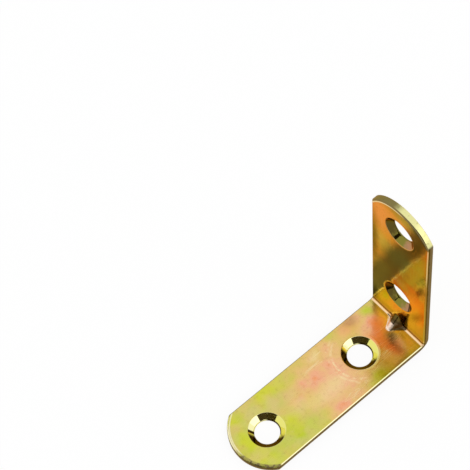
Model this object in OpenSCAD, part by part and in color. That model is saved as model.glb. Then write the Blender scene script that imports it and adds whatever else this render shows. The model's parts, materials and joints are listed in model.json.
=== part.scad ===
// Corner brace folded from one strip of sheet steel. The origin is the outer corner, where the planes of
// the two mounting faces meet, at mid width. The base leg runs along +X on z = 0, the upright along +Z on
// x = 0, and the width lies along Y.

/* [Strip] */
// Length of each leg, from the outer corner to the tip of its rounded end
leg_length = 50; // [34:1:120]
// Width of the strip
strip_width = 17; // [14:0.5:30]
// Thickness of the sheet
thickness = 1.6; // [1.2:0.1:2.5]
// Radius of the arc across each leg's end
end_radius = 10; // [9.5:0.5:40]

/* [Fold] */
// Radius inside the fold
fold_radius = 0.6; // [0.3:0.1:2]
// What the outside radius has over that of an even bend, because the fold draws the sheet thin
fold_thinning = 0.8; // [0:0.1:1.5]

/* [Edges] */
// Rounding that the shear leaves round the inner face
inner_edge_r = 0.35; // [0.1:0.05:0.5]
// Rounding that the shear leaves round the mounting face
outer_edge_r = 0.15; // [0.05:0.05:0.5]

/* [Screw holes] */
// Distance from the outer corner to the first screw hole
first_hole = 13.4; // [11:0.2:16]
// Distance from the tip of a leg to its second screw hole
end_hole = 8.6; // [6:0.2:16]
// Diameter of the hole that the screw's shank passes
hole_d = 5.8; // [3:0.1:7]
// Diameter of the countersink at the inner face
sink_d = 8.8; // [7.6:0.1:11]
// Height of the straight wall left under the countersink
land = 0.3; // [0.1:0.05:0.8]
// Rounding of the lip between the countersink and the inner face
lip_r = 0.3; // [0.1:0.05:0.6]

/* [Pressed rib] */
// Width of the rib where it rises out of the inner corner
rib_width = 4.4; // [3:0.1:7]
// Height of the rib's crest, square off the inner corner
rib_height = 2.2; // [1.5:0.1:4]
// Radius along the rib's crest
crest_r = 1.1; // [0.6:0.1:1.4]
// Thickness of metal left between the groove and the rib's crest
rib_wall = 1.2; // [0.8:0.1:1.6]
// Radius along the bottom of the groove behind the rib
groove_r = 0.6; // [0.3:0.1:1]

/* [Hidden] */
$fn = 64;
zinc = [0.80, 0.68, 0.25];
// Where the fold ends on the inner face and on the mounting face of a leg
inner_fold_at = thickness + fold_radius;
outer_fold_at = inner_fold_at + fold_thinning;
// Each skin of the sheet is a little over half of it, so that the two overlap
skin_depth = 0.6 * thickness;
// Centre of the arc across a leg's end
arc_at = leg_length - end_radius;
hole_places = [first_hole, leg_length - end_hole];
hole_r = hole_d / 2;
sink_r = sink_d / 2;
// Centre of the lip's rounding in the hole's profile, and the slope of the cone that runs up to it
lip_centre = [sink_r, thickness - lip_r];
land_to_lip = lip_centre - [hole_r, land];
sink_slope = atan2(land_to_lip[1], land_to_lip[0]) + asin(lip_r / norm(land_to_lip));
// How far the cutting shapes stand out past the faces that they cut
past = 1;
// Slope of the rib's flank, which is a tangent from the rib's foot to its crest
crest_at = rib_height - crest_r;
foot = rib_width / 2;
foot_to_crest = norm([foot, crest_at]);
flank = atan2(crest_at, foot) + asin(crest_r / foot_to_crest);
// The groove's flanks are parallel to the rib's
groove_at = rib_height - rib_wall - groove_r;
// Distance from the outer corner to the inner one, square off the fold
corner_depth = thickness * sqrt(2);

// Profile of the skin under one face of the sheet: X across the strip, and Y down into the sheet. It is the
// right half if only_right is true.
module skin_profile(width, edge_r, only_right = false) {
    side = width / 2;
    from = only_right ? 0 : -side;
    face_from = only_right ? 0 : edge_r - side;
    translate([from, edge_r])
        square([side - from, skin_depth - edge_r]);
    translate([face_from, 0])
        square([side - edge_r - face_from, skin_depth]);
    for (way = only_right ? [1] : [-1, 1])
        translate([way * (side - edge_r), edge_r])
            circle(r = edge_r);
}

// The same profile stood in its place in the sheet, whose mounting face is at Y = 0
module inner_skin(width, only_right = false) {
    translate([0, thickness])
        mirror([0, 1])
            skin_profile(width, inner_edge_r, only_right);
}

module outer_skin(width, only_right = false) {
    skin_profile(width, outer_edge_r, only_right);
}

// Straight stretch of a skin along +X, from the end of the fold
module run_from(place) {
    translate([place, 0, 0])
        rotate([90, 0, 90])
            linear_extrude(leg_length)
                children();
}

// One leg lying along +X on its mounting face, from the end of the fold to its rounded end
module flat_leg() {
    intersection() {
        union() {
            run_from(inner_fold_at)
                inner_skin(strip_width);
            run_from(outer_fold_at)
                outer_skin(strip_width);
        }
        union() {
            translate([0, -strip_width, -past])
                cube([arc_at, 2 * strip_width, thickness + 2 * past]);
            translate([arc_at, 0, 0])
                rotate_extrude() {
                    inner_skin(2 * end_radius, true);
                    outer_skin(2 * end_radius, true);
                }
        }
    }
}

// The same shape on the base leg and, with X and Z changed over, on the upright
module on_both_legs() {
    children();
    mirror([1, 0, -1])
        children();
}

// Quarter turn of a skin about an axis at this place on both legs
module turn_at(place) {
    translate([place, 0, place])
        rotate([-90, 0, 180])
            rotate_extrude(angle = 90)
                translate([place, 0])
                    rotate(90)
                        children();
}

// The fold, whose outer face turns on a wider arc than an even sheet would
module fold() {
    turn_at(inner_fold_at)
        inner_skin(strip_width);
    turn_at(outer_fold_at)
        outer_skin(strip_width);
}

// Screw hole with its countersink, as a shape to cut, standing on the mounting face
module screw_hole() {
    rotate_extrude()
        difference() {
            polygon([
                [0, -past],
                [hole_r, -past],
                [hole_r, land],
                lip_centre + lip_r * [-sin(sink_slope), cos(sink_slope)],
                [sink_r, thickness],
                [sink_r, thickness + past],
                [0, thickness + past]
            ]);
            translate(lip_centre)
                circle(r = lip_r);
        }
}

// Turns a profile of the rib, with X across the strip and Y off the inner corner, into a bar that crosses
// the corner at half a right angle
module across_corner() {
    translate([thickness, 0, thickness])
        rotate([0, 45, 0])
            rotate([90, 0, 90])
                translate([0, 0, -leg_length / 2])
                    linear_extrude(leg_length)
                        children();
}

// Wedge with a round nose: its flanks run down from the nose to this depth below the inner corner
module wedge(nose_r, nose_at, depth) {
    shoulder = [0, nose_at] + nose_r * [sin(flank), cos(flank)];
    spread = shoulder[0] + (shoulder[1] + depth) / tan(flank);
    polygon([
        shoulder,
        [spread, -depth],
        [-spread, -depth],
        [-shoulder[0], shoulder[1]]
    ]);
    translate([0, nose_at])
        circle(r = nose_r);
}

// Rib that stiffens the fold, from the middle of the sheet inwards
module rib() {
    intersection() {
        across_corner()
            wedge(crest_r, crest_at, thickness / 2);
        translate([thickness / 2, -strip_width, thickness / 2])
            cube([leg_length, 2 * strip_width, leg_length]);
    }
}

// Groove that the punch leaves in the outside of the fold behind the rib, as a shape to cut
module groove() {
    across_corner()
        wedge(groove_r, groove_at, corner_depth + past);
}

module corner_brace() {
    color(zinc)
        difference() {
            union() {
                on_both_legs()
                    flat_leg();
                fold();
                rib();
            }
            on_both_legs()
                for (x = hole_places)
                    translate([x, 0, 0])
                        screw_hole();
            groove();
        }
}

corner_brace();
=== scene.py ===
# %% [markdown]
# # A corner brace in yellow zinc plating
#
# The real thing is a strip of sheet steel, blanked with rounded ends, pierced and countersunk, folded to a
# right angle and stiffened by a rib pressed into the fold. After that it is zinc plated and dipped in a
# yellow chromate bath, which leaves a film so thin that it takes on interference colours. This lesson
# builds the piece in the same order as the press shop does: flat blank, holes, fold, rib, and then the
# plating. The measured model comes first, as the frame that everything has to fit.

# %% Load the measured model
import json
import math

import bmesh
import bpy
import numpy as np
from mathutils import Matrix, Vector


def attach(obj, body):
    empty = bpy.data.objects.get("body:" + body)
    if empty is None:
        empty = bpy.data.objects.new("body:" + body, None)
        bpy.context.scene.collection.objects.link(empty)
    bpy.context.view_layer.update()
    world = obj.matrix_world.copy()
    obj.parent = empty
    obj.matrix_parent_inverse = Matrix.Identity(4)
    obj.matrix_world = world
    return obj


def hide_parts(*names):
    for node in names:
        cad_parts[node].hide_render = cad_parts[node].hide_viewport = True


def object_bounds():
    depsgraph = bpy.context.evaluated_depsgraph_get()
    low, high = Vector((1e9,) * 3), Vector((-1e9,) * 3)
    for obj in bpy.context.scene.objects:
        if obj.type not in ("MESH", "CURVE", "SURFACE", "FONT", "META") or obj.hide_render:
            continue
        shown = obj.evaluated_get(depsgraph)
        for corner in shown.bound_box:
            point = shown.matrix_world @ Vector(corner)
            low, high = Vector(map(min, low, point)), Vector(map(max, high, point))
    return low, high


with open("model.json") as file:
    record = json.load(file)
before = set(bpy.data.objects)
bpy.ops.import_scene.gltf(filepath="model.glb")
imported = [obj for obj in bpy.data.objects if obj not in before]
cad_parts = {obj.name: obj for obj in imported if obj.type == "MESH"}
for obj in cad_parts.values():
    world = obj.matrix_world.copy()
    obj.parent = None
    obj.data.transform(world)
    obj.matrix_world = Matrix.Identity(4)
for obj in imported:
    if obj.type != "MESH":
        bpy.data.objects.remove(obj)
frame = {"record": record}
cad_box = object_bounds()
print("measured model:", [round(c * 1000, 2) for corner in cad_box for c in corner], "mm")

# %% [markdown]
# Every size below is in millimetres, as on a drawing, and is turned into metres only when the mesh is made.
# Leg length, width and the screw holes are read from the measured model. The rest repeats its sizes.

# %% Sizes of the brace
MM = 0.001
mounts = {mount["name"]: mount for mount in frame["record"]["mounts"]}
screws = mounts["base_screws"]
holes_middle = screws["pos_m"][0] / MM
holes_apart = screws["dims"]["spacing_x_mm"]

LEG = round(cad_box[1].x / MM, 1)
HALF_WIDTH = round(cad_box[1].y / MM, 2)
HOLE_PLACES = (holes_middle - holes_apart / 2, holes_middle + holes_apart / 2)
HOLE_R = screws["dims"]["hole_r_mm"]
SINK_R = 4.4
LAND = 0.3
LIP_R = 0.3
THICKNESS = 1.6
END_R = 10.0
END_CORNER_R = 0.8
INNER_EDGE_R = 0.35
TIP_ROLL = 0.6
TIP_ROLL_DEPTH = 0.4
OUTER_EDGE_R = 0.15
FOLD_R = 0.6
FOLD_THINNING = 0.8
RIB_WIDTH = 4.4
RIB_HEIGHT = 2.2
CREST_R = 1.1
RIB_WALL = 1.2
GROOVE_R = 0.6
print("leg", LEG, "half width", HALF_WIDTH, "holes at", HOLE_PLACES, "radius", HOLE_R)

# %% [markdown]
# ## The flat blank
#
# A fold is easiest to model the way it is made: draw the strip flat, and bend it afterwards. Three numbers
# place a point in the blank: along it, across it, and how deep it lies under the inner face. The blank runs
# from the tip of the upright at -LEG to the tip of the base leg at +LEG, with the fold in the middle.
#
# Round holes in a flat plate shade badly if a boolean cuts them, so the plate is laid out as a
# quilt of quads: straight fields, and round each hole a cell whose rings run from the countersink out to
# the cell's border. Lines that have to meet are made from the same list of places, and weld later.

# %% Places along and across the blank
FIELD_STEP = 0.5
CELL_REACH = 7.0
EDGE_LOOP = 0.06
ACROSS_COUNT = 57
MIDDLE_CROWDING = 0.55


def across_places(rim):
    """Places across the strip between its rims, closest in the middle, where the rib is pressed."""
    t = np.linspace(-1, 1, ACROSS_COUNT)
    places = (MIDDLE_CROWDING * t + (1 - MIDDLE_CROWDING) * t**3) * (rim - EDGE_LOOP)
    return np.concatenate([[-rim], places, [rim]])


def steps_between(start, end, step):
    """Evenly spaced places from start to end, both included."""
    return np.linspace(start, end, max(2, round(abs(end - start) / step) + 1))


first_cell = (HOLE_PLACES[0] - CELL_REACH, HOLE_PLACES[0] + CELL_REACH)
end_cell = HOLE_PLACES[1] - CELL_REACH
FOLD_STEP = 0.11
fold_columns = steps_between(-first_cell[0], first_cell[0], FOLD_STEP)
middle_columns = steps_between(first_cell[1], end_cell, FIELD_STEP)
cell_columns = steps_between(first_cell[0], first_cell[1], FIELD_STEP)
print("fold", len(fold_columns), "columns, field", len(middle_columns), "columns")

# %% [markdown]
# The rounded end is an arc that is wider than the strip, so it meets the long edges at corners. The shear
# leaves those corners slightly soft. Each outline point is kept with its outward direction, because the
# rounded edges of both faces are stepped in along it.

# %% Outline of a rounded end
ARC_AT = LEG - END_R
CORNER_POINTS = 7
ARC_POINTS = 61
CORNER_SUPPORT = 0.12
CORNER_REACH = 7.6
TIP_BLEND = 2.0


def end_outline():
    """Points and outward directions round a leg's end, from its left edge to its right one."""
    corner_side = HALF_WIDTH - END_CORNER_R
    corner_reach = math.sqrt((END_R - END_CORNER_R) ** 2 - corner_side**2)
    corner_along = ARC_AT + corner_reach
    arc_angle = math.atan2(corner_side, corner_reach)
    straight = steps_between(end_cell, corner_along - CORNER_SUPPORT, FIELD_STEP)
    points = [(along, HALF_WIDTH) for along in straight]
    outward = [(0.0, 1.0)] * len(straight)
    corner_turns = np.linspace(math.pi / 2, arc_angle, CORNER_POINTS)
    arc_turns = np.linspace(arc_angle, 0, ARC_POINTS // 2 + 1)[1:]
    for along, across, radius, turns in (
        (corner_along, corner_side, END_CORNER_R, corner_turns),
        (ARC_AT, 0.0, END_R, arc_turns),
    ):
        for turn in turns:
            direction = (math.cos(turn), math.sin(turn))
            points.append((along + radius * direction[0], across + radius * direction[1]))
            outward.append(direction)
    halves = [np.array(points), np.array(outward)]
    return [np.concatenate([half, half[-2::-1] * np.array([1, -1])]) for half in halves]


def share_of_tip(points):
    """0 on the long edges and at the corners, and 1 along most of the arc."""
    share = np.clip((CORNER_REACH - np.abs(points[:, 1])) / TIP_BLEND, 0, 1)
    return np.where(points[:, 0] > ARC_AT, share**2 * (3 - 2 * share), 0)


end_points, end_outward = end_outline()
end_share = share_of_tip(end_points)
end_roll = INNER_EDGE_R + (TIP_ROLL - INNER_EDGE_R) * end_share
end_roll_depth = INNER_EDGE_R + (TIP_ROLL_DEPTH - INNER_EDGE_R) * end_share
print(len(end_points), "points round each end")

# %% [markdown]
# A small collector takes the patches. Each one is a grid of points, rows by columns, and the class turns
# neighbouring points into quads.

# %% Collector of patches


class Quilt:
    """Grids of points, sewn together later."""

    def __init__(self):
        self.points = []
        self.faces = []

    def grid(self, points, closed=False):
        """points has the shape (rows, columns, 3). A closed grid joins its last column to its first."""
        points = np.asarray(points, dtype=float)
        rows, columns = points.shape[:2]
        start = sum(len(block) for block in self.points)
        self.points.append(points.reshape(-1, 3))
        for row in range(rows - 1):
            for column in range(columns if closed else columns - 1):
                after = (column + 1) % columns
                a = start + row * columns + column
                b = start + row * columns + after
                self.faces.append((a, b, b + columns, a + columns))


def points_from(*places):
    """Points from places along, across and in depth, each a number or an array."""
    return np.stack(np.broadcast_arrays(*places), axis=-1).astype(float)


quilt = Quilt()

# %% [markdown]
# ## Straight fields
#
# The inner face lies at depth 0 and the mounting face at the sheet's thickness. The field in the middle,
# which will be folded, has the finest columns, because the inner radius is tight.

# %% Fields between the holes
FACES = ((0.0, INNER_EDGE_R), (THICKNESS, OUTER_EDGE_R))

for depth, edge_r in FACES:
    rows = across_places(HALF_WIDTH - edge_r)[:, None]
    quilt.grid(points_from(fold_columns[None, :], rows, depth))
    for side in (1, -1):
        quilt.grid(points_from(side * middle_columns[None, :], rows, depth))
print(len(quilt.faces), "quads in the fields")

# %% [markdown]
# ## Cells round the holes
#
# A cell's border is walked once round, and each border point looks at the hole's centre: the ring points on
# the hole lie in that direction. The rings crowd towards the lip and towards the rim, where the surface
# turns, and are spread evenly in between. Pressing a countersink squeezes a little metal up round the lip,
# which catches the light as a pale ring, so the first rings stand slightly proud.

# %% Rings of a cell
LIP_RINGS = (0.0, 0.05, 0.15, 0.3, 0.5, 0.75)
RIM_RINGS = (0.5, 0.2, EDGE_LOOP, 0.0)
EVEN_RINGS = 7
SWELL_HEIGHT = 0.022
SWELL_AT = 0.32
SWELL_REACH = 0.24


def cell_rings(centre, start_r, border, depth, swell):
    """Grid of rings from a circle of start_r round the centre out to the border, a closed loop."""
    away = border - np.array([centre, 0])
    reach = np.linalg.norm(away, axis=1)
    direction = away / reach[:, None]
    span = reach - start_r
    even = np.linspace(0, 1, EVEN_RINGS + 2)[1:-1]
    first, last = LIP_RINGS[-1], RIM_RINGS[0]
    rings = [np.full_like(span, ring) for ring in LIP_RINGS]
    rings += [first + (span - first - last) * share for share in even]
    rings += [span - ring for ring in RIM_RINGS]
    rings = np.array(rings)
    radius = start_r + rings
    lift = swell * np.exp(-(((rings - SWELL_AT) / SWELL_REACH) ** 2)) * np.minimum(rings / SWELL_AT, 1)
    along = centre + radius * direction[:, 0]
    across = radius * direction[:, 1]
    along[-1], across[-1] = border[:, 0], border[:, 1]
    return points_from(along, across, depth - lift), direction


# %% Borders of the cells


def first_cell_border(rim):
    """Border of the cell round the first hole: along one rim, across, back along the other, across."""
    rows = across_places(rim)
    return np.concatenate([
        points_from(cell_columns[:-1], -rim),
        points_from(cell_columns[-1], rows[:-1]),
        points_from(cell_columns[:0:-1], rim),
        points_from(cell_columns[0], rows[:0:-1]),
    ])


def end_cell_border(edge_r, step_in):
    """Border of the cell round the second hole: round the leg's end, and back across the strip."""
    rim = end_points - step_in * end_outward
    rows = across_places(HALF_WIDTH - edge_r)
    return np.concatenate([rim, points_from(end_cell, rows[1:-1])])


# %% [markdown]
# The hole itself is turned, so its profile is a list of radius and depth: the soft lip, the cone that is a
# tangent to it, the short straight land and the edge on the mounting face. The angle of the cone comes from
# the same tangent as in the measured model.

# %% Profile of a countersunk hole
LIP_POINTS = 7
CONE_POINTS = 7
HOLE_EDGE_R = 0.1
ROUNDING_POINTS = 4
LAND_EDGE = 0.04


def mounting_rounding(start, radius):
    """(place, depth) pairs of a rounding that ends on the mounting face. start is its wall's place."""
    turns = np.linspace(0, math.pi / 2, ROUNDING_POINTS)
    top = THICKNESS - radius
    return [(start + radius * (1 - math.cos(turn)), top + radius * math.sin(turn)) for turn in turns]


def hole_profile():
    """(radius, depth) pairs from the inner face down to the mounting face."""
    lip_centre = np.array([SINK_R, LIP_R])
    land_top = np.array([HOLE_R, THICKNESS - LAND])
    run = lip_centre[0] - land_top[0]
    fall = land_top[1] - lip_centre[1]
    slope = math.atan2(fall, run) + math.asin(LIP_R / math.hypot(run, fall))
    profile = []
    for angle in np.linspace(0, slope, LIP_POINTS):
        profile.append(lip_centre + LIP_R * np.array([-math.sin(angle), -math.cos(angle)]))
    cone_start = profile[-1]
    for share in np.linspace(0, 1, CONE_POINTS)[1:-1]:
        profile.append(cone_start + (land_top - cone_start) * share)
    cone_step = (land_top - cone_start) / np.linalg.norm(land_top - cone_start)
    profile.append(land_top - cone_step * LAND_EDGE)
    profile.append(land_top + np.array([0, LAND_EDGE]))
    profile += mounting_rounding(HOLE_R, HOLE_EDGE_R)
    return np.array(profile)


profile = hole_profile()
print("countersink cone from", profile[LIP_POINTS - 1].round(3), "to", profile[-6].round(3))

# %% Holes with their cells


def add_hole(centre, inner_border, outer_border, side):
    """Both faces of a cell and the wall of its hole. side is 1 on the base leg and -1 on the upright."""
    outer_start = HOLE_R + HOLE_EDGE_R
    inner, direction = cell_rings(centre, SINK_R, inner_border, 0.0, SWELL_HEIGHT)
    outer, _ = cell_rings(centre, outer_start, outer_border, THICKNESS, 0.0)
    radius, depth = profile.T[:, :, None]
    wall = points_from(centre + radius * direction[:, 0], radius * direction[:, 1], depth)
    outer[0, :, 0] = centre + outer_start * direction[:, 0]
    outer[0, :, 1] = outer_start * direction[:, 1]
    for points in (inner, outer, wall):
        points[..., 0] *= side
        quilt.grid(points, closed=True)


for side in (1, -1):
    borders = [first_cell_border(HALF_WIDTH - edge_r) for _, edge_r in FACES]
    add_hole(HOLE_PLACES[0], borders[0], borders[1], side)
    inner_border = end_cell_border(INNER_EDGE_R, end_roll[:, None])
    outer_border = end_cell_border(OUTER_EDGE_R, OUTER_EDGE_R)
    add_hole(HOLE_PLACES[1], inner_border, outer_border, side)
print(len(quilt.faces), "quads with the holes")

# %% [markdown]
# ## The sheared edge
#
# One profile is swept along the whole outline: the rounding under the inner face, the wall, and the much
# smaller rounding at the mounting face. Inner and mounting face share the outline's points, so the profile
# meets both.

# %% Edge of the blank
EDGE_POINTS = 6
WALL_POINTS = 6


def edge_profile(roll, roll_depth):
    """(step in from the outline, depth) pairs, from the inner face to the mounting face."""
    pairs = []
    for angle in np.linspace(0, math.pi / 2, EDGE_POINTS):
        pairs.append((roll * (1 - math.sin(angle)), roll_depth * (1 - math.cos(angle))))
    wall_end = THICKNESS - OUTER_EDGE_R
    wall = np.linspace(roll_depth, wall_end, WALL_POINTS)[1:-1]
    pairs.append((0, roll_depth + EDGE_LOOP))
    pairs += [(0, depth) for depth in wall]
    pairs.append((0, wall_end - EDGE_LOOP / 2))
    return pairs + mounting_rounding(0, OUTER_EDGE_R)


def add_edge(points, outward, rolls, roll_depths):
    """The edge along outline points, each with the size of its rollover."""
    pairs = np.array([edge_profile(roll, depth) for roll, depth in zip(rolls, roll_depths)])
    step_in, depth = pairs.T
    edge = [points[:, axis] - step_in * outward[:, axis] for axis in (0, 1)]
    quilt.grid(points_from(*edge, depth))


side_columns = np.concatenate([
    -middle_columns[::-1],
    -cell_columns[-2:0:-1],
    fold_columns,
    cell_columns[1:-1],
    middle_columns,
])
even_roll = np.full(len(side_columns), INNER_EDGE_R)
for side in (1, -1):
    long_edge = points_from(side_columns, side * HALF_WIDTH)
    add_edge(long_edge, np.tile([0.0, float(side)], (len(side_columns), 1)), even_roll, even_roll)
    mirrored = np.array([side, 1])
    add_edge(end_points * mirrored, end_outward * mirrored, end_roll, end_roll_depth)
print(len(quilt.faces), "quads in the whole blank")

# %% [markdown]
# ## Folding
#
# Both faces of the sheet turn a quarter, each on its own arc: the inner one on a tight radius, and the outer
# one on a wider arc, because a sharp fold draws the metal thin. A point under the surface lies on the
# straight line between the two. So the fold is a formula from the blank's numbers to X and Z, and no
# modifier is needed.

# %% Fold
FOLD_REACH = 4.0
TOWARDS_CORNER = math.radians(225)


def on_folded_face(along, radius):
    """X and Z of a face's point on the base side of the fold, whose arc has this radius."""
    centre = radius + (THICKNESS if radius == FOLD_R else 0)
    arc = radius * math.pi / 4
    length = arc + FOLD_REACH - centre
    place = np.minimum(along / FOLD_REACH, 1) * length
    turn = TOWARDS_CORNER + np.minimum(place, arc) / radius
    x = centre + radius * np.cos(turn) + np.maximum(place - arc, 0)
    z = centre + radius * np.sin(turn)
    return x + np.maximum(along - FOLD_REACH, 0), z


def fold(blank):
    """Places of the blank's points in the folded piece."""
    along = np.abs(blank[:, 0])
    inner_x, inner_z = on_folded_face(along, FOLD_R)
    outer_x, outer_z = on_folded_face(along, THICKNESS + FOLD_R + FOLD_THINNING)
    share = blank[:, 2] / THICKNESS
    x = inner_x + (outer_x - inner_x) * share
    z = inner_z + (outer_z - inner_z) * share
    upright = blank[:, 0] < 0
    return np.stack([np.where(upright, z, x), blank[:, 1], np.where(upright, x, z)], 1)


# %% [markdown]
# ## Pressing the rib
#
# The punch strikes along the diagonal of the corner, so seen from there both faces are height maps, and the
# rib is simply the higher of two heights: that of the sheet, and that of the rib's profile. A smooth
# maximum leaves the small fillet that drawn metal has. On the outside the punch's own groove does the same.
# WELD is the distance below which two points of the blank count as one.

# %% Rib and groove
WELD = 0.002
WEDGES = (
    # Depth of the face, radius and height of the wedge's nose, fillet at its foot
    (0.0, CREST_R, RIB_HEIGHT - CREST_R, 0.3),
    (THICKNESS, GROOVE_R, RIB_HEIGHT - RIB_WALL - GROOVE_R, 0.25),
)


def smooth_max(a, b, blend):
    """The larger of two values, rounded over where they are closer than blend."""
    near = np.maximum(blend - np.abs(a - b), 0) / blend
    return np.maximum(a, b) + near**2 * blend / 4


def flank_slope():
    """Slope of the rib's flank, a tangent from its foot to its crest, as an angle."""
    crest_at = RIB_HEIGHT - CREST_R
    foot = RIB_WIDTH / 2
    return math.atan2(crest_at, foot) + math.asin(CREST_R / math.hypot(crest_at, foot))


def wedge_height(across, nose_r, nose_at):
    """Height over the inner corner of a wedge with a round nose."""
    slope = flank_slope()
    shoulder_out = nose_r * math.sin(slope)
    shoulder_up = nose_at + nose_r * math.cos(slope)
    away = np.abs(across)
    nose = nose_at + np.sqrt(np.maximum(nose_r**2 - away**2, 0))
    flank = shoulder_up - (away - shoulder_out) * math.tan(slope)
    return np.where(away < shoulder_out, nose, flank)


def press(points, blank):
    """Pushes the fold's points up the diagonal to the rib, or on the outside to the groove."""
    diagonal = np.array([1, 0, 1]) / math.sqrt(2)
    height = (points - np.array([THICKNESS, 0, THICKNESS])) @ diagonal
    near_fold = np.abs(blank[:, 0]) <= first_cell[0]
    risen = height.copy()
    for depth, nose_r, nose_at, fillet in WEDGES:
        face = near_fold & (np.abs(blank[:, 2] - depth) < WELD)
        wedge = wedge_height(points[:, 1], nose_r, nose_at)
        risen[face] = smooth_max(height, wedge, fillet)[face]
    return points + (risen - height)[:, None] * diagonal


# %% [markdown]
# ## The mesh
#
# The quilt is welded while it is still flat, which is safe because no two faces of the blank lie closer
# than the sheet's thickness. Every vertex then keeps its place in the blank as an attribute. The finish is
# painted by those numbers, so a cloud of colour can run round the fold as it does on the real strip.

# %% Make the mesh


def make_brace():
    """The folded brace as one closed mesh, with each vertex's place in the blank."""
    mesh = bpy.data.meshes.new("brace")
    mesh.from_pydata(np.concatenate(quilt.points).tolist(), [], quilt.faces)
    bm = bmesh.new()
    bm.from_mesh(mesh)
    bmesh.ops.remove_doubles(bm, verts=bm.verts, dist=WELD)
    bmesh.ops.recalc_face_normals(bm, faces=bm.faces)
    open_edges = sum(1 for edge in bm.edges if len(edge.link_faces) != 2)
    bm.to_mesh(mesh)
    bm.free()
    blank = np.empty(len(mesh.vertices) * 3)
    mesh.vertices.foreach_get("co", blank)
    blank = blank.reshape(-1, 3)
    points = press(fold(blank), blank)
    mesh.vertices.foreach_set("co", (points * MM).ravel())
    place = mesh.attributes.new("blank", "FLOAT_VECTOR", "POINT")
    place.data.foreach_set("vector", blank.ravel())
    mesh.shade_smooth()
    mesh.update()
    brace = bpy.data.objects.new("brace", mesh)
    bpy.context.scene.collection.objects.link(brace)
    print(len(mesh.vertices), "vertices,", len(mesh.polygons), "faces,", open_edges, "open edges")
    return brace


brace = make_brace()
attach(brace, "root")
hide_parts("corner_brace")

# %% [markdown]
# ## Writing a finish as sums
#
# Node trees are hard to read as lists of links. A small wrapper round a socket lets the finish be written
# as arithmetic: each operator adds its Math node and returns the result as another wrapped socket. Colours
# are mixed by Mix nodes, and any other node comes from one method that takes its type, its settings and
# its inputs.

# %% Shader arithmetic


class Shade:
    """A socket of a node tree that takes part in sums."""

    def __init__(self, tree, socket=None):
        self.tree = tree
        self.socket = socket

    def node(self, kind, settings=None, **inputs):
        """A new node of a kind. Its settings are set first, then its inputs, by name or as _0, _1."""
        made = self.tree.nodes.new("ShaderNode" + kind)
        for name, value in (settings or {}).items():
            setattr(made, name, value)
        for name, value in inputs.items():
            socket = made.inputs[int(name[1:]) if name[0] == "_" else name.replace("_", " ")]
            if isinstance(value, Shade):
                self.tree.links.new(value.socket, socket)
            else:
                socket.default_value = value
        return made

    def out(self, kind, output, settings=None, **inputs):
        """One output of a new node."""
        return Shade(self.tree, self.node(kind, settings, **inputs).outputs[output])

    def maths(self, operation, *values):
        inputs = {f"_{number}": value for number, value in enumerate(values)}
        return self.out("Math", 0, {"operation": operation}, **inputs)

    def vectors(self, operation, *others):
        """Vector maths with this vector first."""
        inputs = {f"_{number}": value for number, value in enumerate((self, *others))}
        output = "Value" if operation in ("LENGTH", "DOT_PRODUCT") else "Vector"
        return self.out("VectorMath", output, {"operation": operation}, **inputs)

    def __add__(self, other):
        return self.maths("ADD", self, other)

    def __sub__(self, other):
        return self.maths("SUBTRACT", self, other)

    def __rsub__(self, other):
        return self.maths("SUBTRACT", other, self)

    def __mul__(self, other):
        return self.maths("MULTIPLY", self, other)

    __radd__ = __add__
    __rmul__ = __mul__

    def size(self):
        """The number without its sign."""
        return self.maths("ABSOLUTE", self)

    def most(self, other):
        return self.maths("MAXIMUM", self, other)

    def change(self, start, end, low=0.0, high=1.0):
        """Goes smoothly from low to high as this number goes from start to end."""
        if start > end:
            return self.change(end, start, high, low)
        settings = {"interpolation_type": "SMOOTHSTEP"}
        return self.out("MapRange", 0, settings, _0=self, _1=start, _2=end, _3=low, _4=high)

    def within(self, rise, fall):
        """1 between two soft borders, each a pair of numbers."""
        return self.change(*rise) * self.change(*fall)

    def near(self, place, far, close):
        """1 closer to a place than close, and 0 farther from it than far."""
        return (self - place).size().change(far, close)

    def between(self, first, second):
        """From the first colour to the second, as this share goes from 0 to 1."""
        settings = {"data_type": "RGBA", "clamp_factor": True}
        return self.out("Mix", 2, settings, _0=self, _6=first, _7=second)

    def mixed(self, other, share):
        """This colour with a share of another laid over it."""
        return share.between(self, other)

    def dimmed(self, share, tint):
        """This colour multiplied by a tint, as far as the share says."""
        settings = {"data_type": "RGBA", "blend_type": "MULTIPLY", "clamp_factor": True}
        return self.out("Mix", 2, settings, _0=share, _6=self, _7=tint)


def new_tree(owner):
    """Empties the node tree of a material or world and returns a wrapper to start from."""
    owner.use_nodes = True
    owner.node_tree.nodes.clear()
    return Shade(owner.node_tree)


# %% [markdown]
# ## Yellow chromate
#
# The film's colour follows its thickness. Where it is thin it is a greenish straw, and as it grows it turns
# gold, peach, salmon, orange and amber, as oil does on water. So the finish is one number, the film, which
# varies over the blank in soft clouds, and a ramp that turns the number into a colour.

# %% Colours of the film
FILM_COLOURS = (
    (0.00, (0.53, 0.60, 0.04)),
    (0.12, (0.60, 0.59, 0.09)),
    (0.24, (0.66, 0.55, 0.13)),
    (0.36, (0.75, 0.53, 0.17)),
    (0.48, (0.82, 0.51, 0.22)),
    (0.60, (0.87, 0.43, 0.25)),
    (0.72, (0.88, 0.32, 0.12)),
    (0.84, (0.70, 0.28, 0.04)),
    (0.94, (0.50, 0.27, 0.04)),
    (1.00, (0.38, 0.24, 0.03)),
)
AMBER = (1.0, 0.74, 0.10, 1)
OLIVE = (0.54, 0.54, 0.10, 1)
DUSK = (0.46, 0.25, 0.16, 1)
BLOOM = (0.93, 0.75, 0.41, 1)
RUST = (0.94, 0.32, 0.10, 1)
# Dark brown, partly stain and partly painted shade and painted reflection
STAIN_AND_SHADE = (0.10, 0.072, 0.016, 1)
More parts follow.
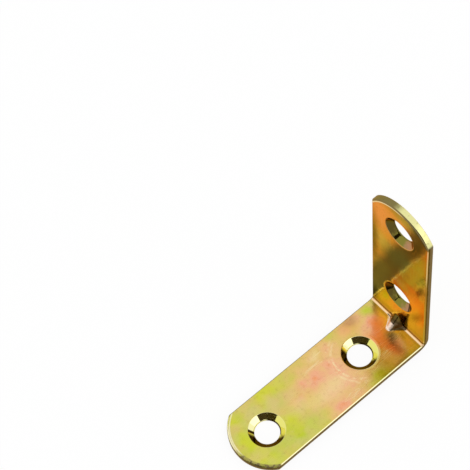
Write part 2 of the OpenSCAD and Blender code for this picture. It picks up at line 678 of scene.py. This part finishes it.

# %% [markdown]
# The clouds are placed one by one, each by its place in the blank, its reach both ways, its turn in degrees,
# and how much it adds. Besides the film's own clouds there are washes, laid over it in this order: the
# amber of the upright's lower half, olive, a dusky brown, a pale bloom that washes the colour out, a rusty
# tone by the fold, and a dark brown that is partly stain and partly painted shade and painted reflection.

# %% Clouds on the blank
FILM_CLOUDS = (
    # Base leg, from its tip inwards
    (47.0, 3.0, 7.0, 6.0, 0, -0.14),
    (44.0, -5.5, 6.0, 4.5, 0, -0.12),
    (38.5, 4.5, 6.5, 5.0, 0, -0.15),
    (34.0, 7.0, 6.0, 3.0, 10, -0.14),
    (31.0, -6.5, 7.0, 3.0, 0, -0.06),
    (31.0, -2.2, 3.5, 3.0, 0, 0.12),
    (26.5, -2.2, 7.5, 3.0, -5, 0.14),
    (25.0, 7.0, 4.2, 2.0, 0, 0.20),
    (23.5, 1.0, 9.0, 12.0, 0, 0.20),
    (18.0, 0.0, 4.0, 10.0, 0, 0.14),
    (3.5, 1.0, 4.5, 9.0, 0, 0.16),
    (4.8, -6.6, 2.0, 1.6, 0, -0.30),
    (4.8, -3.6, 3.2, 2.6, 0, 0.16),
    (7.6, -2.8, 3.2, 4.2, 0, 0.22),
    (8.2, -7.4, 3.0, 1.6, 0, 0.16),
    (10.0, -1.0, 3.0, 4.0, 0, 0.10),
    (14.0, -6.8, 5.0, 2.4, 0, 0.16),
    (14.0, 7.2, 4.0, 2.2, 0, -0.26),
    (15.5, -7.4, 2.6, 1.9, 0, -0.22),
    # Upright, from the fold to its tip
    (-31.0, -4.0, 5.0, 2.6, -15, 0.11),
    (-46.0, 1.0, 4.0, 8.0, 0, 0.05),
)
AMBER_CLOUDS = (
    (-4.0, 0.0, 11.0, 18.0, 0, 1.20),
    (-14.0, 4.8, 9.0, 4.0, -16, 1.00),
    (-19.0, -5.5, 8.0, 4.0, -24, 0.50),
)
OLIVE_CLOUDS = (
    (-20.5, 1.4, 2.2, 2.4, -24, 0.70),
    (-25.0, 2.2, 4.0, 2.4, -24, 0.80),
    (-29.5, 5.0, 6.5, 3.6, -20, 1.00),
    (-36.5, 6.6, 5.0, 2.2, -14, 0.70),
    (-31.0, 0.0, 7.0, 3.2, -24, 0.50),
    (-33.0, -5.5, 4.0, 3.0, 0, 0.30),
    (-48.5, 2.5, 2.0, 5.0, 0, 0.50),
    (3.6, 8.0, 4.0, 1.5, 0, 0.60),
)
DUSK_CLOUDS = (
    # The first, on the base leg by the fold, is a painted reflection of the dark beside the rib
    (3.0, 6.4, 2.2, 3.6, 0, 0.40),
    (10.5, -7.2, 3.2, 1.8, 0, 0.30),
    (48.0, -4.0, 2.2, 3.0, 0, 0.22),
)
BLOOM_CLOUDS = (
    (8.6, 5.2, 2.6, 2.8, 0, 0.50),
    (23.5, 2.2, 4.2, 2.8, 10, 0.40),
    (28.5, 2.5, 3.0, 2.5, 0, 0.26),
    (32.5, 0.6, 3.0, 2.4, 0, 0.16),
    (20.0, 1.0, 2.5, 5.0, 0, 0.12),
    (21.8, -6.8, 2.0, 1.2, 10, 0.40),
    (-20.6, 0.4, 1.4, 2.2, 0, 0.22),
)
RUST_CLOUDS = (
    (8.0, 0.8, 1.9, 3.8, 20, 0.70),
    (6.0, -1.0, 2.0, 1.8, 0, 0.40),
    (6.3, 4.6, 2.0, 2.8, -10, 0.80),
    (11.0, -6.4, 3.4, 2.2, 0, 0.30),
    (-43.0, -6.0, 6.5, 4.0, 0, 0.60),
    (-45.5, 0.0, 3.0, 6.0, 0, 0.25),
)
SHADE_AND_STAIN_CLOUDS = (
    # Left margin of the upright, a painted dark reflection
    (-5.4, -7.8, 4.4, 1.7, -4, 0.80),
    (-30.0, -8.0, 13.0, 2.1, 0, 0.85),
    # Dark spots on the upright. The first, by the rib's end, is a painted reflection of the rib's dark flank
    (-6.2, 1.6, 2.4, 1.7, 0, 0.50),
    (-41.0, 5.0, 4.0, 2.0, -24, 0.45),
    (-25.5, 7.4, 1.8, 1.2, 0, 0.60),
    (-49.0, 1.0, 2.0, 9.0, 0, 0.35),
    # Painted shade below the rib's foot on the base leg
    (5.2, 2.3, 1.8, 1.2, 20, 0.45),
    (6.0, 4.0, 1.0, 2.6, -14, 0.16),
    # Margins of the base leg
    (9.5, -7.4, 2.2, 1.5, 0, 0.25),
    (8.0, 8.6, 9.0, 1.0, 0, 0.45),
)
WASHES = (
    (OLIVE, OLIVE_CLOUDS),
    (DUSK, DUSK_CLOUDS),
    (BLOOM, BLOOM_CLOUDS),
    (RUST, RUST_CLOUDS),
    (STAIN_AND_SHADE, SHADE_AND_STAIN_CLOUDS),
)
print(len(FILM_CLOUDS + AMBER_CLOUDS) + sum(len(clouds) for _, clouds in WASHES), "clouds")

# %% [markdown]
# One cloud is a Mapping node that makes its ellipse round, a length, and a smooth fall. The places are first
# pushed about by noise, so no cloud keeps an ellipse's outline.

# %% Sum of clouds
CLOUD_CORE = 0.15
CLOUD_RIM = 1.35
THROUGH = 1000


def sum_of(clouds, place, start=0.0):
    """The sum of clouds at a place, added to a starting value."""
    total = start
    for along, across, reach_along, reach_across, turn, amount in clouds:
        local = place.out(
            "Mapping", "Vector", {"vector_type": "TEXTURE"}, Vector=place,
            Location=(along, across, 0),
            Rotation=(0, 0, math.radians(turn)),
            Scale=(reach_along, reach_across, THROUGH),
        )
        total = local.vectors("LENGTH").change(CLOUD_RIM, CLOUD_CORE, 0.0, amount) + total
    return total


def noise(place, scale, detail, output="Fac"):
    """Noise with this many waves to the millimetre."""
    settings = {"noise_dimensions": "3D"}
    return place.out("TexNoise", output, settings, Vector=place, Scale=scale, Detail=detail)


# %% [markdown]
# The finish reads the blank's numbers back from the mesh. Depth tells the inner face from the sheared edge
# and the mounting face, and the distance from a hole's centre tells where its countersink is. All of this
# is gathered once, under plain names, for the functions that follow. Every mask has a soft border, so a
# border is written as a pair of numbers: where it starts, and where it has come full.

# %% Where a spot lies
WANDER = 2.4
DRIFT_WAVES = 0.22
GRAIN_WAVES = 1.1
MOTTLE_WAVES = 0.42
INNER_BORDER = (0.9, 0.25)
UPRIGHT_BORDER = (-1.0, -4.0)
TIP_BORDER = (ARC_AT + 4.2, ARC_AT + 4.8)
SINK_BORDER = (SINK_R + 0.06, SINK_R - 0.06)
HOLE_BORDER = (HOLE_R + 0.1, HOLE_R + 0.04)
MOUNTING_BORDER = (THICKNESS, THICKNESS - 0.05)


class Spot:
    """A spot of the surface: its place in the blank, and what lies there."""

    def __init__(self, start):
        self.start = start
        self.place = start.out("Attribute", "Vector", {"attribute_name": "blank"})
        parts = start.node("SeparateXYZ", Vector=self.place).outputs
        self.along, self.across, self.depth = [Shade(start.tree, part) for part in parts]
        self.from_fold = self.along.size()
        self.inner = self.depth.change(*INNER_BORDER)
        self.upright = self.along.change(*UPRIGHT_BORDER)
        drift = noise(self.place, DRIFT_WAVES, 3.0, "Color")
        drift = drift.vectors("SUBTRACT", (0.5, 0.5, 0.5))
        self.pushed = drift.vectors("MULTIPLY_ADD", (WANDER, WANDER, 0), self.place)
        self.grain = noise(self.place, GRAIN_WAVES, 6.0) - 0.5
        self.mottle = noise(self.place, MOTTLE_WAVES, 4.0) - 0.5
        self.find_hole()
        self.find_tip()

    def offset(self, along):
        return self.start.out("CombineXYZ", "Vector", X=along, Y=self.across, Z=0.0)

    def find_hole(self):
        """The nearest hole of this leg, and whether the spot is in it or in its countersink."""
        self.at_first = self.from_fold.maths("COMPARE", self.from_fold, HOLE_PLACES[0], holes_apart / 2)
        self.off_hole = self.offset(self.from_fold - (HOLE_PLACES[1] - self.at_first * holes_apart))
        self.from_hole = self.off_hole.vectors("LENGTH")
        in_wall = self.depth.change(*MOUNTING_BORDER).most(self.from_hole.change(*HOLE_BORDER))
        self.in_hole = self.from_hole.change(*SINK_BORDER) * self.depth.change(0.0, 0.1) * in_wall
        self.beside_hole = 1 - self.in_hole

    def find_tip(self):
        """The distance from the centre of the leg's end arc, and whether the spot is on the tip."""
        off_arc = self.offset(self.from_fold - ARC_AT)
        self.from_arc = off_arc.vectors("LENGTH")
        self.on_tip = self.from_fold.change(*TIP_BORDER)


# %% [markdown]
# The film comes first. On the inner face its thickness is the sum of the clouds. On the mounting face, which
# hung free in the bath, it simply drifts. Towards the tip of the base leg the colour also changes within a
# few millimetres, so three tints are strewn there by noise.

# %% From thickness to colour


def film_colour(start, film):
    """The ramp from the film's thickness to its colour."""
    ramp = start.node("ValToRGB", Fac=film)
    stops = ramp.color_ramp.elements
    while len(stops) < len(FILM_COLOURS):
        stops.new(0.5)
    for stop, (position, colour) in zip(stops, FILM_COLOURS):
        stop.position = position
        stop.color = (*colour, 1)
    return Shade(start.tree, ramp.outputs["Color"])


# %% Flecks
FLECK_BORDER = (0.44, 0.68)
FLECKED_ALONG = (24.0, 38.0)
FLECKS = (
    # Tint, where its noise starts, waves to the millimetre, share
    ((0.62, 0.68, 0.02, 1), 3.0, 0.17, 0.70),
    ((0.52, 0.58, 0.18, 1), 11.0, 0.20, 0.35),
    ((0.80, 0.56, 0.30, 1), 23.0, 0.24, 0.25),
)


def flecked(spot, colour):
    """The colour with flecks a few millimetres across, where the film changes quickly."""
    where = spot.along.change(*FLECKED_ALONG) * spot.inner
    for tint, start, waves, share in FLECKS:
        moved = spot.pushed.vectors("ADD", (start, start, 0))
        colour = colour.mixed(tint, noise(moved, waves, 1.0).change(*FLECK_BORDER) * where * share)
    return colour


# %% Film and washes
START_FILM = 0.27
UPRIGHT_FILM = 0.57
OUTER_WAVES = 0.08
OUTER_DRIFT = 1.2
OUTER_MIDDLE = 0.4
MOTTLE = 0.36
UPRIGHT_MOTTLE = 0.3 * MOTTLE
GRAIN_COLOUR = 0.07
GRAIN_BORDER = (0.0, 0.35)
GRAIN_SHARE = 0.5
GRAIN_TINT = (0.62, 0.60, 0.50, 1)


def washed_film(spot):
    """Colour of the film with its washes."""
    inner_film = sum_of(FILM_CLOUDS, spot.pushed, START_FILM) + spot.upright * UPRIGHT_FILM
    outer_film = START_FILM + (noise(spot.place, OUTER_WAVES, 2.0) - OUTER_MIDDLE) * OUTER_DRIFT
    film = outer_film + (inner_film - outer_film) * spot.inner
    film = film + spot.grain * GRAIN_COLOUR
    film = film + spot.mottle * spot.upright.change(0.0, 1.0, MOTTLE, UPRIGHT_MOTTLE)
    colour = film_colour(spot.start, film)
    colour = colour.mixed(AMBER, sum_of(AMBER_CLOUDS, spot.pushed) * spot.upright * spot.inner)
    for wash, clouds in WASHES:
        colour = colour.mixed(wash, sum_of(clouds, spot.pushed) * spot.inner)
    colour = flecked(spot, colour)
    return colour.dimmed(spot.grain.change(*GRAIN_BORDER) * GRAIN_SHARE, GRAIN_TINT)


# %% [markdown]
# Fine scratches are the lines where a stretched noise passes its middle value, and only some stretches of
# them are kept. They show most where the base leg was handled. A screw head has also turned on the plating
# round the first hole there, which left part of a double ring.

# %% Scratches
SCRATCH_WIDTH = 0.012
SCRATCH_WAVES = 0.9
KEPT_WAVES = 0.6
KEPT_BORDER = (0.52, 0.60)
# Turn in degrees, stretch, and where the noise starts
LONG_SCRATCHES = (6, 14, 0.0)
CROSS_SCRATCHES = (70, 9, 20.0)


def scratches(place, turn, stretch, start):
    """1 on thin lines that run at a turn to the leg. start moves the pattern."""
    laid = place.out(
        "Mapping", "Vector", {"vector_type": "POINT"}, Vector=place,
        Location=(start, 2 * start, 0),
        Rotation=(0, 0, math.radians(turn)),
        Scale=(SCRATCH_WAVES / stretch, SCRATCH_WAVES, SCRATCH_WAVES),
    )
    line = noise(laid, 1.0, 1.0).near(0.5, SCRATCH_WIDTH, 0.0)
    return line * noise(laid, KEPT_WAVES, 0.0).change(*KEPT_BORDER)


# %% Scuffs
HANDLED = ((15.0, 18.0), (29.0, 23.0))
HANDLED_SHARE = 0.4
SCRATCH_SHARE = 0.09
SCUFF_RINGS = (6.5, 7.3)
SCUFF_WIDTH = 0.5
SCUFFED = ((15.5, 18.0), (23.5, 20.5))
SCUFF_SHARE = 0.8
SECOND_RING = 0.7
RING_WOBBLE = 1.2
WORN_WAVES = 0.7
WORN_BORDER = (0.38, 0.60)


def scuffed(spot, colour, fine):
    """The colour with pale scratches and the rings that a screw head left."""
    handled = spot.along.within(*HANDLED) * spot.inner
    colour = colour.mixed(BLOOM, fine * (handled * HANDLED_SHARE + SCRATCH_SHARE))
    away = spot.from_hole + spot.mottle * RING_WOBBLE
    rings = [away.near(radius, SCUFF_WIDTH, 0.0) for radius in SCUFF_RINGS]
    wear_and_highlight = noise(spot.place, WORN_WAVES, 2.0).change(*WORN_BORDER)
    where = spot.along.within(*SCUFFED) * spot.inner
    return colour.mixed(BLOOM, rings[0].most(rings[1] * SECOND_RING) * wear_and_highlight * where * SCUFF_SHARE)


# %% [markdown]
# Along the bend runs a painted highlight, a bright line, with painted shade as a brown line on either side.

# %% Bend
# A painted highlight along the bend, and painted shade beside it
BEND_HIGHLIGHT = (0.97, 0.68, 0.40, 1)
BEND_LINE = (0.85, 0.35)
BESIDE_BEND = (2.1, 1.5)
UPRIGHT_BEND_SHADE = 0.65
BASE_BEND_SHADE = 0.25


def bent(spot, colour):
    """The colour with the painted highlight along the bend and the painted shade beside it."""
    bend_shade = spot.along.change(0.0, -0.5, BASE_BEND_SHADE, UPRIGHT_BEND_SHADE)
    colour = colour.mixed(STAIN_AND_SHADE, spot.from_fold.change(*BESIDE_BEND) * bend_shade * spot.inner)
    return colour.mixed(BEND_HIGHLIGHT, spot.from_fold.change(*BEND_LINE) * spot.inner)


# %% [markdown]
# A countersink is turned after blanking and takes a thin, bright film of its own. Its cone is painted by
# direction: one side pale, as a painted highlight, and the other with an olive ring and a dark wedge, as a
# painted reflection. At the second hole a dark bar is painted across it as well, and a thin ring round the
# hole is dark on that side too. LOW and LEFT are directions on the leg along which this painted light runs.
# In the upright's countersinks the film has grown olive and red.

# %% Countersinks
LOW = (0.735, 0.678, 0)
LEFT = (0.678, -0.735, 0)
SINK_HIGHLIGHT = (0.95, 0.91, 0.46, 1)
SINK_GREEN = (0.82, 0.78, 0.20, 1)
SINK_OLIVE = (0.23, 0.205, 0.035, 1)
SINK_RED = (0.44, 0.23, 0.12, 1)
SINK_SHADE = (0.035, 0.018, 0.003, 1)
OLIVE_SHARE = 0.6
WEDGE_BORDER = (0.6, 1.7)
WEDGE_SLANT = 0.5
BAR_AT = 0.55
BAR_WIDTH = (0.45, 0.25)
BAR_BORDER = (2.1, 2.7)
BURR_BORDER = (HOLE_R + 0.32, HOLE_R + 0.12)


def sink_shade(spot, low, left):
    """Where a countersink of the base leg is painted dark: a wedge of painted reflection, a bar and a ring
    round the hole.
    """
    dark_wedge = (low + left.most(0.0) * spot.at_first * WEDGE_SLANT).change(*WEDGE_BORDER)
    bar = low.near(BAR_AT, *BAR_WIDTH) * left.change(*BAR_BORDER) * (1 - spot.at_first)
    burr = spot.from_hole.change(*BURR_BORDER) * left.change(0.9, 0.0) * low.change(0.8, 0.0)
    return dark_wedge.most(bar).most(burr)


def countersunk(spot, colour):
    """The colour with that of the countersinks and the holes."""
    low = spot.off_hole.vectors("DOT_PRODUCT", LOW)
    left = spot.off_hole.vectors("DOT_PRODUCT", LEFT)
    # Painted highlight on one side of the cone, and painted reflection as an olive ring and a dark wedge on
    # the other
    base = left.change(-1.5, 1.5).between(SINK_GREEN, SINK_HIGHLIGHT)
    base = base.mixed(SINK_OLIVE, low.change(0.0, 1.6) * left.change(-1.0, -2.6) * OLIVE_SHARE)
    base = base.mixed(SINK_SHADE, sink_shade(spot, low, left))
    patchy = spot.across + spot.grain * 3
    grown = patchy.change(-2.6, -0.8).between(STAIN_AND_SHADE, SINK_OLIVE)
    grown = grown.mixed(SINK_RED, patchy.change(0.4, 2.4))
    return colour.mixed(base.mixed(grown, spot.upright), spot.in_hole)


# %% [markdown]
# Inside each tip the sheet is drawn down towards the shear. That margin is painted darker, as painted shade,
# with nicks in it, and on one side a painted highlight runs as a pale line where the surface starts to fall.

# %% Drawn-down margin of the tips
# A painted highlight and painted shade for the tip margins and the rims
RIM_HIGHLIGHT = (0.97, 0.90, 0.56, 1)
RIM_SHADE = (0.20, 0.16, 0.07, 1)
MARGIN_BORDER = (END_R - 0.9, END_R - 0.5)
MARGIN_DARK = (END_R - 0.5, END_R - 0.35)
DRAWN_LINE = END_R - 0.58
DRAWN_WIDTH = (0.22, 0.08)
DRAWN_SHARE = 0.7
NICK_WAVES = 1.1


def drawn_down(spot, colour, nicks):
    """The colour with the margin inside each tip: painted shade, nicks and a painted highlight."""
    where = spot.on_tip * spot.inner * spot.beside_hole
    margin = spot.from_arc.change(*MARGIN_BORDER) * where
    patchy = spot.across.change(-1.0, 2.0, 0.15, 0.6) + nicks.change(0.48, 0.56, 0.0, 0.4)
    dark = patchy.most(spot.from_arc.change(*MARGIN_DARK) * spot.upright)
    colour = colour.mixed(RIM_SHADE, margin * dark)
    line = spot.from_arc.near(DRAWN_LINE, *DRAWN_WIDTH) * where
    return colour.mixed(RIM_HIGHLIGHT, line * spot.across.change(2.0, -1.0) * DRAWN_SHARE)


# %% [markdown]
# The rounded rim of the base leg's near side gets a pale painted highlight. On the lower half of the upright
# that rim is brown instead, and the rims on the far side are painted dark, as a painted reflection.

# %% Rims
RIM_BROWN = (0.30, 0.17, 0.04, 1)
RIM_BAND = ((0.01, 0.05), (0.30, 0.20))
RIM_SHARE = 0.85
NEAR_BORDER = (0.35 - HALF_WIDTH, 0.45 - HALF_WIDTH)
UPRIGHT_RIM_BORDER = (-34.0, -28.0)


def rimmed(spot, colour, outside):
    """The colour with the rounded rims: painted highlight, brown, and painted reflection."""
    rim = spot.depth.within(*RIM_BAND) * outside
    near_side = spot.across.change(*NEAR_BORDER)
    # Painted highlight on the near rim, and painted reflection darkening the far rims
    wear_and_highlight = spot.along.change(*UPRIGHT_RIM_BORDER, 0.30, 0.0).most(spot.along.change(0.0, 1.0, 0.0, RIM_SHARE))
    browned = spot.along.change(*UPRIGHT_RIM_BORDER, 0.2, 0.75) * spot.upright
    colour = colour.mixed(RIM_BROWN, rim * near_side * browned)
    low_tip = spot.on_tip * spot.upright.most(spot.across.change(-3.0, 1.0))
    colour = colour.mixed(RIM_HIGHLIGHT, rim * near_side * wear_and_highlight * (1 - low_tip))
    return colour.mixed(RIM_SHADE, rim * (1 - near_side) * RIM_SHARE)


# %% [markdown]
# The sheared edge is rough and painted dark, partly for its own film and partly as painted shade: brown in
# the band that the shear cut and olive in the band that broke. Round the tip of the upright the edge is
# painted pale, as a painted highlight.

# %% Sheared edge
# The dark edge colours are partly the edge's own film and partly painted shade, and the pale one is a
# painted highlight
EDGE_CUT = (0.035, 0.022, 0.008, 1)
EDGE_BROKEN = (0.15, 0.125, 0.075, 1)
EDGE_HIGHLIGHT = (0.80, 0.77, 0.35, 1)
EDGE_DULL = (0.22, 0.18, 0.065, 1)
EDGE_BAND = ((0.18, 0.30), (THICKNESS, THICKNESS - 0.15))
EDGE_BREAKS = (0.5, 0.8)
RAGGED = 0.6
NICK_SHARE = 0.6
TIP_EDGE_BORDER = (-45.2, -45.8)


def sheared(spot, colour, outside, nicks):
    """The colour with that of the sheared edge."""
    edge = spot.depth.within(*EDGE_BAND) * outside
    broken = (spot.depth + spot.grain * RAGGED).change(*EDGE_BREAKS)
    edge_colour = broken.between(EDGE_CUT, EDGE_BROKEN)
    tip_colour = spot.across.change(-2.6, 0.4).between(EDGE_DULL, EDGE_HIGHLIGHT)
    tip_colour = tip_colour.dimmed(nicks.change(0.42, 0.30) * NICK_SHARE, GRAIN_TINT)
    return colour.mixed(edge_colour.mixed(tip_colour, spot.along.change(*TIP_EDGE_BORDER)), edge)


# %% Whole edge
PAST_FOLD = (2.6, 3.6)
LONG_EDGES = (HALF_WIDTH - 0.9, HALF_WIDTH - 0.5)


def edged(spot, colour):
    """The colour with that of the margin, the rims and the sheared edge."""
    outside = spot.from_fold.change(*PAST_FOLD).most(spot.across.size().change(*LONG_EDGES))
    outside = outside * spot.beside_hole
    nicks = noise(spot.place, NICK_WAVES, 1.5)
    colour = drawn_down(spot, colour, nicks)
    return sheared(spot, rimmed(spot, colour, outside), outside, nicks)


# %% [markdown]
# The rib's lower half is painted nearly white, as a painted highlight, and its upper half and its far flank
# are painted dark, as painted shade and reflection. The rib's foot on each leg is found from the slope of
# its flank.

# %% Rubbed rib
# A painted highlight for the rib's lower half, and painted shade for the rest
RIB_HIGHLIGHT = (0.97, 0.78, 0.64, 1)
RIB_SHADE = (0.055, 0.034, 0.012, 1)
RIB_SHADE_SHARE = 0.92
RIB_TAPER = math.sqrt(2) * math.tan(flank_slope())
RIB_FOOT = THICKNESS + RIB_TAPER * RIB_WIDTH / 2
RIB_END = THICKNESS + math.sqrt(2) * RIB_HEIGHT
RIB_BLUR = 0.3


def rib_masks(spot):
    """Where the rib is painted dark, and where it gets its painted highlight."""
    foot = spot.from_fold + spot.across.size() * RIB_TAPER
    on_rib = foot.change(RIB_FOOT + RIB_BLUR, RIB_FOOT) * spot.inner
    on_rib = on_rib * spot.from_fold.change(RIB_END + RIB_BLUR, RIB_END)
    pale_rib = on_rib * spot.along.change(0.3, 0.9) * spot.across.change(0.7, 0.3)
    dark = on_rib * spot.along.change(-0.1, 0.3).most(spot.across.change(-1.5, -1.1))
    return dark, pale_rib


def ribbed(colour, dark, pale_rib):
    """The colour with the rib's painted shade and painted highlight."""
    return colour.mixed(RIB_SHADE, dark * RIB_SHADE_SHARE).mixed(RIB_HIGHLIGHT, pale_rib)


# %% [markdown]
# The parts come together in one metal. Its roughness rises in patches, along scratches, on the sheared edge
# and on the pale side of the rib, and falls in the turned holes. Bump adds the long waves of rolled sheet
# and the relief of grain and scratches.

# %% Roughness
BASE_ROUGHNESS = 0.21
UPRIGHT_ROUGHNESS = 0.13
SINK_ROUGHNESS = 0.06
RIB_ROUGHNESS = 0.40
EDGE_ROUGHNESS = 0.32
MOTTLE_ROUGHNESS = 0.12
SCRATCH_ROUGHNESS = 0.1


def roughness_of(spot, fine, pale_rib, on_edge):
    """Roughness, from the plain sheet to the edge."""
    roughness = spot.upright.change(0.0, 1.0, BASE_ROUGHNESS, UPRIGHT_ROUGHNESS)
    roughness = roughness + spot.mottle * MOTTLE_ROUGHNESS + fine * SCRATCH_ROUGHNESS
    roughness = spot.in_hole.change(0.0, 1.0) * (SINK_ROUGHNESS - roughness) + roughness
    return roughness.most(pale_rib * RIB_ROUGHNESS).most(on_edge * EDGE_ROUGHNESS)


# %% Relief
SHEET_WAVES = 0.12
SHEET_RELIEF = 0.11
GRAIN_RELIEF = 0.002
EDGE_RELIEF = 0.02
SCRATCH_RELIEF = 0.002


def relief_of(spot, fine, on_edge):
    """Height of the surface in millimetres."""
    grainy = spot.beside_hole * GRAIN_RELIEF + on_edge * EDGE_RELIEF
    return noise(spot.place, SHEET_WAVES, 2.0) * SHEET_RELIEF + spot.grain * grainy - fine * SCRATCH_RELIEF


# %% Yellow zinc
ROUGH_BAND = ((0.3, 0.5), (THICKNESS, THICKNESS - 0.1))
GRAZING_TINT = (0.85, 0.65, 0.42, 1)


def zinc_finish():
    """The plating: metal whose colour is the film's."""
    material = bpy.data.materials.new("yellow zinc")
    start = new_tree(material)
    spot = Spot(start)
    fine = scratches(spot.place, *LONG_SCRATCHES).most(scratches(spot.place, *CROSS_SCRATCHES))
    dark, pale_rib = rib_masks(spot)
    on_edge = spot.depth.within(*ROUGH_BAND) * spot.beside_hole
    colour = bent(spot, scuffed(spot, washed_film(spot), fine))
    colour = edged(spot, countersunk(spot, colour))
    bump = start.out("Bump", "Normal", Height=relief_of(spot, fine, on_edge), Distance=MM, Strength=1.0)
    surface = start.out(
        "BsdfPrincipled", 0, Base_Color=ribbed(colour, dark, pale_rib), Metallic=1.0,
        Roughness=roughness_of(spot, fine, pale_rib, on_edge),
        Specular_Tint=GRAZING_TINT, Normal=bump,
    )
    start.node("OutputMaterial", Surface=surface)
    return material


zinc = zinc_finish()
brace.data.materials.append(zinc)
print(len(zinc.node_tree.nodes), "nodes in the finish")

# %% [markdown]
# ## Camera, room and floor
#
# The camera stands where the photographer's did. Bright metal shows its surroundings, so the room is part
# of the finish. It is a plain white one, in which the film's colours come out as they are written.

# %% Camera
LENS = 138.263
SENSOR = 36.0
EYE = (134.207, 135.344, 370.263)
AZIMUTH = 145.956
ELEVATION = 59.768
ROLL = -7.836
NEAREST = 0.01


def make_camera():
    """Camera at the photograph's angle. Azimuth 0 looks along +Y, and it looks down by the elevation."""
    data = bpy.data.cameras.new("camera")
    data.lens = LENS
    data.sensor_width = SENSOR
    data.clip_start = NEAREST
    camera = bpy.data.objects.new("camera", data)
    turn = (
        Matrix.Rotation(math.radians(AZIMUTH), 4, "Z")
        @ Matrix.Rotation(math.radians(90 - ELEVATION), 4, "X")
        @ Matrix.Rotation(math.radians(ROLL), 4, "Z")
    )
    camera.matrix_world = Matrix.Translation(Vector(EYE) * MM) @ turn
    bpy.context.scene.collection.objects.link(camera)
    bpy.context.scene.camera = camera


make_camera()
print("the camera looks down by", ELEVATION, "degrees")

# %% Room
WHITE = (1, 1, 1, 1)
ROOM_LIGHT = 1.0


def make_room():
    """A room that looks white to the camera and in the metal."""
    world = bpy.data.worlds.new("room")
    bpy.context.scene.world = world
    start = new_tree(world)
    start.node("OutputWorld", Surface=start.out("Background", 0, Color=WHITE, Strength=ROOM_LIGHT))


make_room()
print("a white room of strength", ROOM_LIGHT)

# %% [markdown]
# The floor is a sheet of white paper. A share of its white is a glow that only the camera and the metal see,
# so it stays as white as the room and still keeps a soft shadow.

# %% Floor
FLOOR_SIZE = 4.0
FLOOR_GAP = 0.00002
FLOOR_WHITE = (0.94, 0.94, 0.94, 1)
FLOOR_GLOW = 0.9


def background_rays(start):
    """1 for the rays that see the plain white background, and 0 for those that carry the light."""
    rays = start.node("LightPath").outputs
    seen = Shade(start.tree, rays["Is Camera Ray"])
    for name in ("Is Glossy Ray", "Is Transmission Ray"):
        seen = seen.most(Shade(start.tree, rays[name]))
    return seen


def make_floor():
    """A white sheet of paper under the brace."""
    bpy.ops.mesh.primitive_plane_add(size=FLOOR_SIZE, location=(0, 0, -FLOOR_GAP))
    floor = bpy.context.object
    floor.name = "floor"
    material = bpy.data.materials.new("white paper")
    start = new_tree(material)
    paper = start.out("BsdfDiffuse", 0, Color=FLOOR_WHITE)
    glow = start.out("Emission", 0, Color=WHITE, Strength=1.0)
    both = start.out("MixShader", 0, _0=background_rays(start) * FLOOR_GLOW, _1=paper, _2=glow)
    start.node("OutputMaterial", Surface=both)
    floor.data.materials.append(material)


make_floor()
print("a floor", FLOOR_SIZE, "m across")

# %% [markdown]
# A softbox stands low over the brace's near long edge. Only the rounded edges and the cones of the
# countersinks are turned its way, so they get the bright lines, and the flat faces stay as the room shows
# them.

# %% Softbox
LAMP_RADIANCE = 0.5
LAMP_SIZE = 0.5
LAMP_TOWARDS = (-0.28, 0.72, 0.60)
LAMP_DISTANCE = 0.7


def aim(thing, direction, distance):
    """Puts a thing this far off in a direction, facing the brace."""
    towards = Vector(direction).normalized()
    thing.location = towards * distance
    thing.rotation_euler = (-towards).to_track_quat("-Z", "Y").to_euler()


def make_softbox():
    data = bpy.data.lights.new("softbox", "AREA")
    data.size = LAMP_SIZE
    data.energy = LAMP_RADIANCE * math.pi * LAMP_SIZE**2
    lamp = bpy.data.objects.new("softbox", data)
    bpy.context.scene.collection.objects.link(lamp)
    aim(lamp, LAMP_TOWARDS, LAMP_DISTANCE)


make_softbox()
print("a softbox", LAMP_SIZE, "m across, at", LAMP_DISTANCE, "m")

# %% [markdown]
# Opposite it, under the camera, hangs a dark card, as the photographer's own dark outline does in every shot
# of bright metal. It puts the black wedges in the countersinks. A dark strip lies on the paper beside the
# base leg. The upright is bright enough to mirror it, as a band that is crisp below and fades upwards,
# because the strip itself fades out on its far side. Neither card is seen by the camera.

# %% Dark cards
CARD_SIZE = (0.74, 0.24)
CARD_AZIMUTH = math.radians(48.0)
CARD_ELEVATION = math.radians(34.0)
CARD_DISTANCE = 0.45
CARD_COLOUR = (0.05, 0.036, 0.016, 1)
STRIP_SIZE = (0.068, 0.0085)
STRIP_PLACE = (0.036, -0.0136, 0.0003)
STRIP_COLOUR = (0.19, 0.23, 0.28, 1)
STRIP_FADE = 0.45


def make_card(name, size, paint, soft_edge=0.0):
    """A dark card that is seen in the metal alone. A share of its far side may fade out."""
    bpy.ops.mesh.primitive_plane_add(size=1)
    card = bpy.context.object
    card.name = name
    card.scale = (*size, 1)
    card.visible_camera = False
    card.visible_diffuse = False
    card.visible_transmission = False
    card.visible_shadow = False
    material = bpy.data.materials.new(name)
    start = new_tree(material)
    dark = start.out("BsdfDiffuse", 0, Color=paint)
    clear = start.out("BsdfTransparent", 0)
    from_edge = start.out("SeparateXYZ", "Y", Vector=start.out("TexCoord", "Generated"))
    share = from_edge.change(0.0, soft_edge) if soft_edge else 1.0
    start.node("OutputMaterial", Surface=start.out("MixShader", 0, _0=share, _1=clear, _2=dark))
    card.data.materials.append(material)
    return card


level = math.cos(CARD_ELEVATION)
towards_card = (level * math.sin(CARD_AZIMUTH), level * math.cos(CARD_AZIMUTH), math.sin(CARD_ELEVATION))
aim(make_card("dark card", CARD_SIZE, CARD_COLOUR), towards_card, CARD_DISTANCE)
make_card("dark strip", STRIP_SIZE, STRIP_COLOUR, STRIP_FADE).location = STRIP_PLACE
print("a dark card", CARD_SIZE, "m and a dark strip", STRIP_SIZE, "m")

# %% [markdown]
# The plain view transform shows colours as they are written.

# %% Look of the render
bpy.context.scene.view_settings.view_transform = "Standard"
